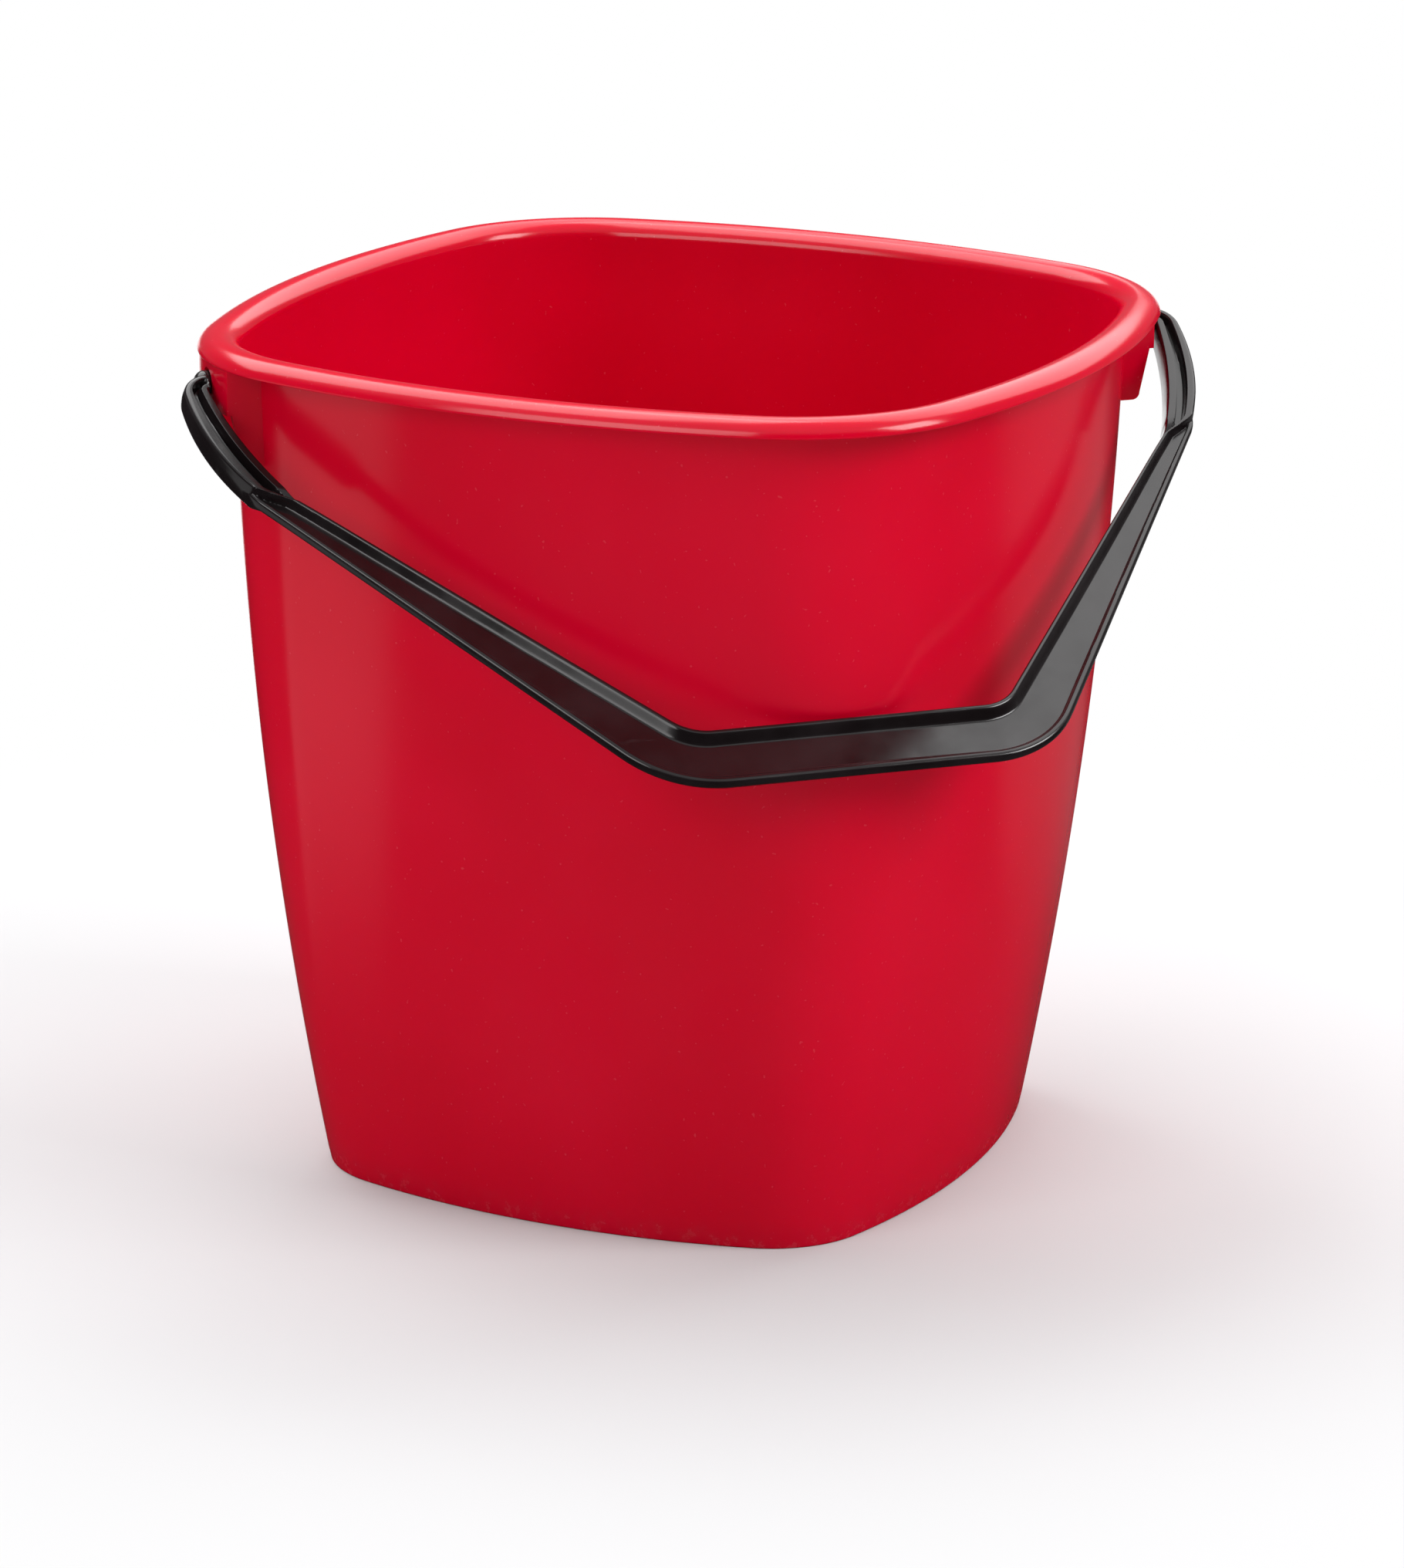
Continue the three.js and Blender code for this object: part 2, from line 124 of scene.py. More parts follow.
BEAD_WIDTH = 2.2
FLANGE_WIDTH = 2.6
KNUCKLE = 3.6


def lerp(a, b, t):
    return a + (b - a) * t


def smooth(t):
    t = np.clip(t, 0.0, 1.0)
    return t * t * (3 - 2 * t)


# ---------------------------------------------------------------- mesh helpers


def new_object(name, verts, faces):
    mesh = bpy.data.meshes.new(name)
    mesh.from_pydata([tuple(v) for v in np.asarray(verts, float) * UNIT], [], faces)
    mesh.validate()
    mesh.update()
    obj = bpy.data.objects.new(name, mesh)
    bpy.context.scene.collection.objects.link(obj)
    return obj


def recalc(obj):
    bm = bmesh.new()
    bm.from_mesh(obj.data)
    bmesh.ops.remove_doubles(bm, verts=bm.verts, dist=1e-7)
    bmesh.ops.recalc_face_normals(bm, faces=bm.faces)
    bm.to_mesh(obj.data)
    bm.free()


def bake_modifiers(obj):
    graph = bpy.context.evaluated_depsgraph_get()
    mesh = bpy.data.meshes.new_from_object(obj.evaluated_get(graph))
    obj.modifiers.clear()
    obj.data = mesh
    return obj


def boolean(obj, other, operation):
    modifier = obj.modifiers.new("cut", "BOOLEAN")
    modifier.operation = operation
    modifier.object = other
    modifier.solver = "EXACT"
    bake_modifiers(obj)
    bpy.data.objects.remove(other)
    return obj


def bevel(obj, width, segments, angle):
    modifier = obj.modifiers.new("bevel", "BEVEL")
    modifier.width = width * UNIT
    modifier.segments = segments
    modifier.limit_method = "ANGLE"
    modifier.angle_limit = math.radians(angle)
    return bake_modifiers(obj)


def shade(obj, angle):
    """Smooth faces, with the edges sharper than the angle kept crisp."""
    bm = bmesh.new()
    bm.from_mesh(obj.data)
    for face in bm.faces:
        face.smooth = True
    for edge in bm.edges:
        if len(edge.link_faces) == 2:
            edge.smooth = edge.calc_face_angle(0.0) < math.radians(angle)
    bm.to_mesh(obj.data)
    bm.free()


def loft(rings):
    """Verts and faces of a closed skin through equal rings, with a pole in the middle of each end."""
    count = len(rings[0])
    last = len(rings) - 1
    verts = [p for ring in rings for p in ring]
    faces = []
    for r in range(last):
        for i in range(count):
            j = (i + 1) % count
            faces.append((r * count + i, r * count + j, (r + 1) * count + j, (r + 1) * count + i))
    for r in (0, last):
        hub = len(verts)
        verts.append(np.mean(np.asarray(rings[r]), axis=0))
        for i in range(count):
            j = (i + 1) % count
            a, b = (j, i) if r == 0 else (i, j)
            faces.append((hub, r * count + a, r * count + b))
    return verts, faces


# ---------------------------------------------------------------- the bucket's plan

SIDE_STEPS = 34
CORNER_STEPS = 34
WALL_STEPS = 73


def plan_at(height):
    share = height / HEIGHT
    flare = share + PROFILE_BULGE * share * (1 - share)
    return (
        lerp(BASE["half"], TOP["half"], flare),
        lerp(BASE["corner"], TOP["corner"], share),
        lerp(BASE["rise"], TOP["rise"], share),
    )


def arcs_of(plan):
    half, corner, rise = plan
    side_radius = (half**2 + rise**2) / (2 * rise)
    back = side_radius - half
    reach = side_radius - corner
    centre = (math.sqrt(2 * reach**2 - back**2) - back) / 2
    return side_radius, back, centre, math.atan2(centre, centre + back), corner


def ring_at(plan, offset, z):
    side_radius, back, centre, meet, corner = arcs_of(plan)
    side = meet * (2 * np.arange(SIDE_STEPS) / SIDE_STEPS - 1)
    turn = lerp(meet, math.pi / 2 - meet, np.arange(CORNER_STEPS) / CORNER_STEPS)
    u = np.concatenate([
        (side_radius + offset) * np.cos(side) - back,
        centre + (corner + offset) * np.cos(turn),
    ])
    v = np.concatenate([
        (side_radius + offset) * np.sin(side),
        centre + (corner + offset) * np.sin(turn),
    ])
    rows = []
    for k in range(4):
        a = math.pi / 4 + k * math.pi / 2
        rows.append(np.stack([
            u * math.cos(a) - v * math.sin(a),
            u * math.sin(a) + v * math.cos(a),
            np.full(u.shape, float(z)),
        ], axis=1))
    return np.concatenate(rows)


def corner_at(height):
    arcs = arcs_of(plan_at(height))
    return arcs[2] * math.sqrt(2), arcs[4]


def wall_x(height, y):
    x, radius = corner_at(height)
    return x + math.sqrt(radius**2 - y**2)


LIP_X = wall_x(RIM_BOTTOM, 0) + RIM_REACH


# ---------------------------------------------------------------- bucket body


def arc_points(cx, cz, rx, rz, start, end, steps):
    """Points of an elliptical arc in the wall's section: offset from the plan, and height."""
    return [
        (cx + rx * math.cos(math.radians(lerp(start, end, i / steps))),
         cz + rz * math.sin(math.radians(lerp(start, end, i / steps))))
        for i in range(steps + 1)
    ]


def body_shell():
    rings = []

    def add(offset, z, plan_height=None):
        rings.append(ring_at(plan_at(z if plan_height is None else plan_height), offset, z))

    def add_arc(points, plan_height):
        for offset, z in points:
            add(offset, z, plan_height)

    # Underside: from the middle outwards, with a shallow gate dimple.
    inner = ring_at(plan_at(0), -FOOT_WIDTH - FOOT_ROUND, FOOT_HEIGHT)
    for share in (0.02, 0.035, 0.05, 0.055, 0.06, 0.1, 0.2, 0.35, 0.5, 0.65, 0.8, 0.92):
        ring = inner * share
        ring[:, 2] = FOOT_HEIGHT + (DIMPLE_DEPTH if share < DIMPLE_SHARE else 0.0)
        rings.append(ring)
    add_arc(arc_points(
        -FOOT_WIDTH - FOOT_ROUND, FOOT_HEIGHT - FOOT_ROUND, FOOT_ROUND, FOOT_ROUND, 90, 0, 4,
    ), 0)
    add_arc(arc_points(-FOOT_WIDTH + 0.5, 0.5, 0.5, 0.5, 180, 270, 4), 0)
    add_arc(arc_points(-FOOT_EDGE, FOOT_EDGE, FOOT_EDGE, FOOT_EDGE, 270, 360, 6), 0)

    # Outside of the wall.
    for i in range(1, WALL_STEPS):
        add(0, lerp(FOOT_EDGE, RIM_BOTTOM, i / WALL_STEPS))
    # The hollow under the roll, the lip's rounded lower edge and the roll itself.
    hollow_half = ROLL_HALF - WALL
    middle = RIM_REACH - ROLL_HALF
    add_arc(arc_points(middle, RIM_BOTTOM, hollow_half, RIM_RISE - WALL, 180, 0, 18), RIM_BOTTOM)
    lip = LIP_ROUND
    add_arc(arc_points(RIM_REACH - WALL + lip, RIM_BOTTOM + lip, lip, lip, 180, 270, 4), RIM_BOTTOM)
    add_arc(arc_points(RIM_REACH - lip, RIM_BOTTOM + lip, lip, lip, 270, 352, 5), RIM_BOTTOM)
    add_arc(arc_points(middle, RIM_BOTTOM, ROLL_HALF, RIM_RISE, 9, 180, 34), RIM_BOTTOM)

    # Inside of the wall, the fillet at its foot and the floor.
    fillet_top = FOOT_HEIGHT + FLOOR + FLOOR_FILLET
    for i in range(1, WALL_STEPS):
        add(-WALL, lerp(RIM_BOTTOM, fillet_top, i / WALL_STEPS))
    add_arc(arc_points(
        -WALL - FLOOR_FILLET, fillet_top, FLOOR_FILLET, FLOOR_FILLET, 360, 270, 12,
    ), fillet_top)
    inner = ring_at(plan_at(fillet_top), -WALL - FLOOR_FILLET, FOOT_HEIGHT + FLOOR)
    for share in (0.92, 0.8, 0.65, 0.5, 0.35, 0.2, 0.1, 0.05, 0.02):
        ring = inner * share
        ring[:, 2] = FOOT_HEIGHT + FLOOR
        rings.append(ring)
    verts, faces = loft(rings)
    obj = new_object("bucket_shell", verts, faces)
    recalc(obj)
    return obj


def prism(outline, to_3d, name, depth):
    """A closed solid from an outline, extruded by a function that places its points."""
    count = len(outline)
    verts = [to_3d(a, b, t) for t in (0, depth) for a, b in outline]
    faces = []
    for i in range(count):
        j = (i + 1) % count
        faces.append((i, j, count + j, count + i))
    faces.append(tuple(range(count))[::-1])
    faces.append(tuple(range(count, 2 * count)))
    obj = new_object(name, verts, faces)
    recalc(obj)
    return obj


def lug(side):
    cx, radius = corner_at(RIM_BOTTOM)
    outer = radius + RIM_REACH - LUG_INSET
    inner = outer - LUG_PLATE
    steps = 28
    outline = []
    half = math.asin(LUG_HALF_WIDTH / outer)
    for i in range(steps + 1):
        a = lerp(-half, half, i / steps)
        outline.append((cx + outer * math.cos(a), outer * math.sin(a)))
    half = math.asin(LUG_HALF_WIDTH / inner)
    for i in range(steps + 1):
        a = lerp(half, -half, i / steps)
        outline.append((cx + inner * math.cos(a), inner * math.sin(a)))
    plate = prism(
        outline, lambda x, y, t: (side * x, side * y, LUG_BOTTOM + t), "plate", LUG_TOP - LUG_BOTTOM
    )
    for y in (LUG_HALF_WIDTH - GUSSET_THICKNESS / 2, GUSSET_THICKNESS / 2 - LUG_HALF_WIDTH):
        edge = cx + math.sqrt(outer**2 - y**2) - GUSSET_INSET
        bottom = HEIGHT - GUSSET_DEPTH
        profile = [(edge, LUG_TOP), (wall_x(RIM_BOTTOM, y) + RIM_REACH - ROLL_HALF, HEIGHT - WALL / 2)]
        for i in range(13):
            z = lerp(LUG_TOP, bottom, i / 12)
            profile.append((wall_x(min(z, RIM_BOTTOM), y) - WALL / 2, z))
        nose = edge - GUSSET_TAPER
        for i in range(9):
            a = math.radians(lerp(270, 360, i / 8))
            z = bottom + GUSSET_NOSE * (1 + math.sin(a))
            profile.append((nose - GUSSET_NOSE * (1 - math.cos(a)), z))
        profile.append((edge, LUG_BOTTOM))
        gusset = prism(
            profile,
            lambda x, z, t, y=y: (side * x, side * (y - GUSSET_THICKNESS / 2 + t), z),
            "gusset",
            GUSSET_THICKNESS,
        )
        boolean(plate, gusset, "UNION")
    count = 56
    circle = [
        (HOLE_RADIUS * math.cos(math.tau * i / count), HOLE_RADIUS * math.sin(math.tau * i / count))
        for i in range(count)
    ]
    drill = prism(
        circle,
        lambda y, z, t: (side * (LIP_X - DRILL_START + t), y, PIVOT_Z + z),
        "drill",
        DRILL_LENGTH,
    )
    boolean(plate, drill, "DIFFERENCE")
    bevel(plate, LUG_BEVEL, 3, 35)
    return plate


def bucket_body():
    shell = body_shell()
    for side in (1, -1):
        boolean(shell, lug(side), "UNION")
    shell.name = "bucket_red"
    shell.data.name = "bucket_red"
    recalc(shell)
    shade(shell, 34)
    return shell


# ---------------------------------------------------------------- bail

GRIP_STEPS = 12
BEND_STEPS = 18
ARM_STEPS = 34
KINK_STEPS = 22
UPPER_STEPS = 22
SHOULDER_STEPS = 18
SECTION_STEPS = 56


def rounded_corner(a, b, c, radius, steps):
    to_a = (a - b) / np.linalg.norm(a - b)
    to_c = (c - b) / np.linalg.norm(c - b)
    half = math.acos(np.clip(to_a @ to_c, -1, 1)) / 2
    tangent = radius / math.tan(half)
    bisector = (to_a + to_c) / np.linalg.norm(to_a + to_c)
    centre = b + bisector * radius / math.sin(half)
    start = b + to_a * tangent - centre
    end = b + to_c * tangent - centre
    sweep = math.atan2(start[0] * end[1] - start[1] * end[0], start @ end)
    points = []
    for i in range(steps + 1):
        t = sweep * i / steps
        points.append(centre + np.array([
            start[0] * math.cos(t) - start[1] * math.sin(t),
            start[0] * math.sin(t) + start[1] * math.cos(t),
        ]))
    return points


def bowed_between(a, b, bow, steps):
    along = b - a
    side = np.array([-along[1], along[0]]) / np.linalg.norm(along)
    return [
        a + along * i / steps + side * 4 * bow * (i / steps) * (1 - i / steps)
        for i in range(1, steps)
    ]


def bail_edge(bend, bend_radius, kink, bow, shoulder, shoulder_radius, boss_end):
    middle = np.array([0.0, bend[1]])
    bend_arc = rounded_corner(middle, bend, kink, bend_radius, BEND_STEPS)
    kink_arc = rounded_corner(bend, kink, shoulder, KINK_RADIUS, KINK_STEPS)
    corner = np.array([shoulder[0], boss_end[1]])
    shoulder_arc = rounded_corner(shoulder, corner, boss_end, shoulder_radius, SHOULDER_STEPS)
    return [
        middle,
        *bowed_between(middle, bend_arc[0], 0, GRIP_STEPS),
        *bend_arc,
        *bowed_between(bend_arc[-1], kink_arc[0], 0, ARM_STEPS),
        *kink_arc,
        *bowed_between(kink_arc[-1], shoulder_arc[0], bow, UPPER_STEPS),
        *shoulder_arc,
        boss_end,
    ]


def grip_reach():
    return math.hypot(LIP_X, HEIGHT - PIVOT_Z) + GRIP_SWING_GAP


def kink_from(bend, kink_x):
    side_radius, back = arcs_of(plan_at(HEIGHT))[:2]
    centre = np.array([-back, -back]) * math.sqrt(0.5)
    from_centre = bend - centre
    clear = side_radius + RIM_REACH + ARM_SWING_GAP
    normal = math.atan2(from_centre[1], from_centre[0]) - math.acos(clear / np.linalg.norm(from_centre))
    return np.array([kink_x, bend[1] - (kink_x - bend[0]) / math.tan(normal)])


def ease(t, k=0.2):
    """A straight ramp from 0 to 1 with short rounded ends."""
    t = np.clip(t, 0, 1)
    slope = 1 / (1 - k)
    low = slope * t * t / (2 * k)
    high = 1 - slope * (1 - t) ** 2 / (2 * k)
    mid = slope * (t - k / 2)
    return np.where(t < k, low, np.where(t > 1 - k, high, mid))


def ridge(x, a, b, rise_a, rise_b):
    """1 between a and b, with a ramp outside each."""
    return ease((x - a + rise_a) / rise_a) * ease((b + rise_b - x) / rise_b)


def soft_max(a, b, k=0.16):
    return 0.5 * (a + b + np.sqrt((a - b) ** 2 + k * k)) - k * 0.25


def section(x, width, cross, solid):
    """Front and back heights of the bail's section from the middle plane, at x from its inner edge."""
    web = WEB_HEIGHT - WEB_SAG * np.sin(np.pi * np.clip(x / width, 0, 1)) * cross
    inner = ridge(x, 0.0, lerp(0.29 * width, 2.2, cross), 1.0, RIB_FLANK)
    # The crossing rib: the upper arm's outer flange, which becomes the lower arm's inner rib.
    centre = lerp(0.80 * width, 1.0, cross)
    half = lerp(0.14 * width, 0.55, cross)
    crossing = ridge(x, centre - half, centre + half, RIB_FLANK, lerp(1.0, 3.2, cross))
    bead = ridge(x, width - BEAD_WIDTH, width, 0.8, 1.0)
    front = WEB_HEIGHT + (RIB_HEIGHT - WEB_HEIGHT) * np.maximum(inner * (1 - 0.35 * cross), crossing)
    front = soft_max(front, web)
    front = soft_max(front, WEB_HEIGHT + (BEAD_HEIGHT - WEB_HEIGHT) * bead)
    front = lerp(front, np.maximum(front, RIB_HEIGHT), solid)
    outer = ridge(x, width - FLANGE_WIDTH, width, 1.0, 1.0)
    flanges = WEB_HEIGHT + (RIB_HEIGHT - WEB_HEIGHT) * np.maximum(inner, outer)
    back = lerp(flanges, np.full_like(x, BACK_DEPTH), cross)
    back = lerp(back, np.maximum(back, RIB_HEIGHT), solid)
    return front, back


def edge_round(x, width, radius_in, radius_out):
    """1 inside, falling to 0 at both edges along a rounded corner."""
    a = np.clip(x / radius_in, 0, 1)
    b = np.clip((width - x) / radius_out, 0, 1)
    p = 2.6
    return ((1 - (1 - a) ** p) ** (1 / p)) * ((1 - (1 - b) ** p) ** (1 / p))


def bail_stations():
    inner_bend = np.array([GRIP_INNER_HALF, grip_reach()])
    inner_kink = kink_from(inner_bend, LIP_X - KINK_INSET)
    boss = LIP_X + BOSS_GAP
    arm = LIP_X + ARM_GAP
    inner = bail_edge(
        inner_bend, GRIP_INNER_RADIUS, inner_kink, ARM_INNER_BOW,
        np.array([arm, SHOULDER_REACH]), (ARM_GAP - BOSS_GAP) / 2,
        np.array([boss, BOSS_WIDTH - SHOULDER_TOP]),
    )
    outer = bail_edge(
        np.array([GRIP_OUTER_HALF, grip_reach() + GRIP_WIDTH]), GRIP_OUTER_RADIUS,
        inner_kink + np.array([KINK_WIDTH, -KINK_SLANT]), ARM_BOW,
        np.array([arm + ARM_WIDTH, SHOULDER_REACH]), SHOULDER_RADIUS,
        np.array([boss, -SHOULDER_TOP]),
    )
    kink_start = GRIP_STEPS + BEND_STEPS + ARM_STEPS
    kink_end = kink_start + KINK_STEPS
    shoulder_start = kink_end + UPPER_STEPS
    last = len(inner) - 1
    stations = []
    for i, (a, b) in enumerate(zip(inner, outer)):
        cross = 1 - smooth((i - kink_start + ARM_STEPS * 0.12) / (KINK_STEPS + ARM_STEPS * 0.16))
        past = i - shoulder_start - SHOULDER_STEPS * 0.7
        solid = smooth(past / (last - shoulder_start - SHOULDER_STEPS * 0.75))
        stations.append((a, b, float(cross), float(solid)))
    return stations


def bail_ring(station, mirror, axis_points):
    a, b, cross, solid = station
    width = np.linalg.norm(b - a)
    share = (1 - np.cos(np.pi * axis_points)) / 2
    share = lerp(axis_points, share, 0.55)
    x = share * width
    front, back = section(x, width, cross, solid)
    front = front * edge_round(x, width, 0.9, lerp(2.3, 1.6, cross))
    back = back * edge_round(x, width, lerp(0.9, 1.5, cross), 1.3)
    place = a[None, :] + (b - a)[None, :] * share[:, None]
    top = np.stack([mirror * place[:, 0], -place[:, 1], front], axis=1)
    low = np.stack([mirror * place[:, 0], -place[:, 1], -back], axis=1)[1:-1][::-1]
    return np.concatenate([top, low])


def turned(points, angle):
    c, s = math.cos(angle), math.sin(angle)
    p = np.asarray(points, float)
    return np.stack([p[:, 0], p[:, 1] * c - p[:, 2] * s, p[:, 1] * s + p[:, 2] * c], axis=1)


def bump_shape(distance, half, height):
    share = np.minimum(np.abs(distance) / half, 1)
    return height * (1 - share**3) ** (1 / 3)


def rest_angle():
    """The grip's middle comes to rest just clear of the bucket's corner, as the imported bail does."""
    reach = grip_reach()
    share = (1 - np.cos(np.pi * np.arange(13) / 12)) / 2
    x = share * GRIP_WIDTH
    back = np.maximum(bump_shape(x - GRIP_WIDTH / 2, GRIP_WIDTH / 2, BACK_DEPTH), 0)
    back[0] = back[-1] = 0
    points = np.stack([np.zeros(13), -(reach + x), -back], axis=1)
    angle = math.pi / 2
    gap = -1.0
    while gap < REST_GAP:
        angle -= 0.001
        p = turned(points, angle)
        gap = min(-y - wall_x(max(z + PIVOT_Z, 0), 0) for _, y, z in p)
    return angle


def lathe_x(profile, name, count=64):
    """A closed turned solid about the X axis, from (x, radius) points."""
    rings = []
    for x, r in profile:
        a = 2 * math.pi * np.arange(count) / count
        rings.append(np.stack([np.full(count, x), r * np.cos(a), r * np.sin(a)], axis=1))
    verts, faces = loft(rings)
    obj = new_object(name, verts, faces)
    recalc(obj)
    return obj


def pin(side):
    """A chamfered pin through the lug, whose outer end is a low knuckle on the arm's shoulder."""
    start = wall_x(PIVOT_Z, 0) + PIN_END_GAP
    end = LIP_X + BOSS_GAP / 2
    profile = [(start, 0.4), (start, PIN_RADIUS - PIN_CHAMFER - 0.4)]
    for i in range(5):
        a = math.radians(lerp(0, 90, i / 4))
        radius = PIN_RADIUS - PIN_CHAMFER * (1 - math.sin(a))
        profile.append((start + PIN_CHAMFER * (1 - math.cos(a)), radius))
    profile += [(lerp(start + PIN_CHAMFER, end, k / 6), PIN_RADIUS) for k in range(1, 6)]
    for i in range(11):
        a = math.radians(lerp(0, 86, i / 10))
        profile.append((end + KNUCKLE * math.sin(a), PIN_RADIUS * math.cos(a)))
    return lathe_x([(side * x, r) for x, r in profile], "pin")


def bail():
    stations = bail_stations()
    axis_points = np.arange(SECTION_STEPS + 1) / SECTION_STEPS
    left = [bail_ring(s, -1, axis_points) for s in stations[1:][::-1]]
    right = [bail_ring(s, 1, axis_points) for s in stations]
    verts, faces = loft([*left, *right])
    obj = new_object("bail_frame", verts, faces)
    recalc(obj)
    for side in (1, -1):
        boolean(obj, pin(side), "UNION")
    angle = rest_angle()
    co = np.array([v.co for v in obj.data.vertices]) / UNIT
    co = turned(co, angle)
    co[:, 2] += PIVOT_Z
    obj.data.vertices.foreach_set("co", (co * UNIT).astype(np.float32).ravel())
    obj.data.update()
    obj.name = "bail_black"
    obj.data.name = "bail_black"
    recalc(obj)
    shade(obj, 40)
    return obj


# ---------------------------------------------------------------- materials


class Nodes:
    """A small helper that adds and links shader nodes."""

    def __init__(self, material):
        material.use_nodes = True
        self.tree = material.node_tree
        self.tree.nodes.clear()
        self.output = self.add("ShaderNodeOutputMaterial")
        self.shader = self.add("ShaderNodeBsdfPrincipled")
        self.link(self.shader.outputs[0], self.output.inputs["Surface"])
        self.where = self.add("ShaderNodeTexCoord").outputs["Object"]

    def add(self, kind, **settings):
        node = self.tree.nodes.new(kind)
        for key, value in settings.items():
            setattr(node, key, value)
        return node

    def link(self, a, b):
        self.tree.links.new(a, b)

    def scaled(self, scale):
        node = self.add("ShaderNodeMapping")
        node.inputs["Scale"].default_value = scale
        self.link(self.where, node.inputs["Vector"])
        return node.outputs[0]

    def noise(self, scale, detail=3.0, rough=0.55, vector=None):
        node = self.add("ShaderNodeTexNoise")
        node.inputs["Scale"].default_value = scale
        node.inputs["Detail"].default_value = detail
        node.inputs["Roughness"].default_value = rough
        self.link(vector or self.where, node.inputs["Vector"])
        return node.outputs["Fac"]

    def ramp(self, value, low, high, a=0.0, b=1.0):
        node = self.add("ShaderNodeMapRange", interpolation_type="SMOOTHSTEP")
        node.inputs["From Min"].default_value = low
        node.inputs["From Max"].default_value = high
        node.inputs["To Min"].default_value = a
        node.inputs["To Max"].default_value = b
        self.link(value, node.inputs["Value"])
        return node.outputs[0]

    def math(self, operation, a, b=None):
        node = self.add("ShaderNodeMath", operation=operation)
        for i, value in enumerate((a, b)):
            if value is None:
                continue
            if isinstance(value, (int, float)):
                node.inputs[i].default_value = value
            else:
                self.link(value, node.inputs[i])
        return node.outputs[0]

    def mix(self, factor, a, b):
        node = self.add("ShaderNodeMix", data_type="RGBA")
        for socket, value in ((node.inputs[0], factor), (node.inputs[6], a), (node.inputs[7], b)):
            if isinstance(value, (int, float)):
                socket.default_value = value
            elif isinstance(value, tuple):
                socket.default_value = value
            else:
                self.link(value, socket)
        return node.outputs[2]

    def bump(self, height, strength, distance, normal=None):
        node = self.add("ShaderNodeBump")
        node.inputs["Strength"].default_value = strength
        node.inputs["Distance"].default_value = distance
        self.link(height, node.inputs["Height"])
        if normal is not None:
            self.link(normal, node.inputs["Normal"])
        return node.outputs[0]

    def height_above(self):
        node = self.add("ShaderNodeSeparateXYZ")
        self.link(self.where, node.inputs[0])
        return node.outputs[2]


def red_plastic():
    material = bpy.data.materials.new("red_polypropylene")
    n = Nodes(material)
    deep = (0.56, 0.0, 0.016, 1)
    bright = (0.61, 0.0, 0.021, 1)
    worn = (0.66, 0.07, 0.10, 1)
    clouds = n.noise(9, 2)
    streaks = n.noise(14, 4, 0.6, n.scaled((1, 1, 0.12)))
    base = n.mix(n.ramp(clouds, 0.3, 0.7), deep, bright)
    base = n.mix(n.ramp(streaks, 0.35, 0.75, 0.0, 0.25), base, (0.65, 0.0, 0.022, 1))
    # Scuffs round the foot and fine dust on the faces.
    near_floor = n.ramp(n.height_above(), 0.012, 0.0)
    scuff = n.math("MULTIPLY", near_floor, n.ramp(n.noise(220, 5, 0.7), 0.48, 0.66))
    base = n.mix(n.math("MULTIPLY", scuff, 0.07), base, worn)
    dust = n.ramp(n.noise(900, 0, 0.4), 0.80, 0.86)
    base = n.mix(n.math("MULTIPLY", dust, 0.12), base, (0.85, 0.25, 0.28, 1))
    n.link(base, n.shader.inputs["Base Color"])
    scratches = n.ramp(n.noise(60, 6, 0.75, n.scaled((1, 1, 6))), 0.60, 0.74, 0.0, 0.03)
    rough = n.math("ADD", n.ramp(n.noise(25, 4), 0.3, 0.7, 0.16, 0.19), scratches)
    rough = n.math("ADD", rough, n.math("MULTIPLY", scuff, 0.2))
    n.link(rough, n.shader.inputs["Roughness"])
    n.shader.inputs["IOR"].default_value = 1.49
    n.shader.inputs["Specular IOR Level"].default_value = 0.42
    n.shader.inputs["Subsurface Weight"].default_value = 0.22
    n.shader.inputs["Subsurface Radius"].default_value = (1.0, 0.06, 0.08)
    n.shader.inputs["Subsurface Scale"].default_value = 0.006
    waves = n.bump(n.noise(14, 1), 0.20, 0.00012)
    peel = n.bump(n.noise(380, 2), 0.08, 0.000015, waves)
    grain = n.bump(n.noise(2400, 1), 0.10, 0.000006, peel)
    n.link(grain, n.shader.inputs["Normal"])
    return material


def black_plastic():
    material = bpy.data.materials.new("black_polyamide")
    n = Nodes(material)
    deep = (0.0060, 0.0040, 0.0045, 1)
    bright = (0.012, 0.0085, 0.0095, 1)
    base = n.mix(n.ramp(n.noise(40, 3), 0.35, 0.7), deep, bright)
    wear = n.ramp(n.noise(150, 6, 0.7, n.scaled((0.25, 1, 1))), 0.6, 0.75, 0.0, 0.5)
    base = n.mix(wear, base, (0.022, 0.019, 0.020, 1))
    n.link(base, n.shader.inputs["Base Color"])
    rough = n.math("ADD", n.ramp(n.noise(70, 4), 0.3, 0.7, 0.13, 0.22), n.math("MULTIPLY", wear, 0.12))
    n.link(rough, n.shader.inputs["Roughness"])
    n.shader.inputs["IOR"].default_value = 1.53
    n.shader.inputs["Specular IOR Level"].default_value = 0.48
    waves = n.bump(n.noise(45, 1), 0.20, 0.00012)
    grain = n.bump(n.noise(900, 2), 0.12, 0.000012, waves)
    n.link(grain, n.shader.inputs["Normal"])
    return material


# Directions in which the floor looks bright in reflections: angle from +X, half-width, brightness.
FLOOR_LOBES = ((74, 23, 1.5), (20, 20, 0.14), (172, 14, 0.5))
FLOOR_DIM_GLOW = 0.012
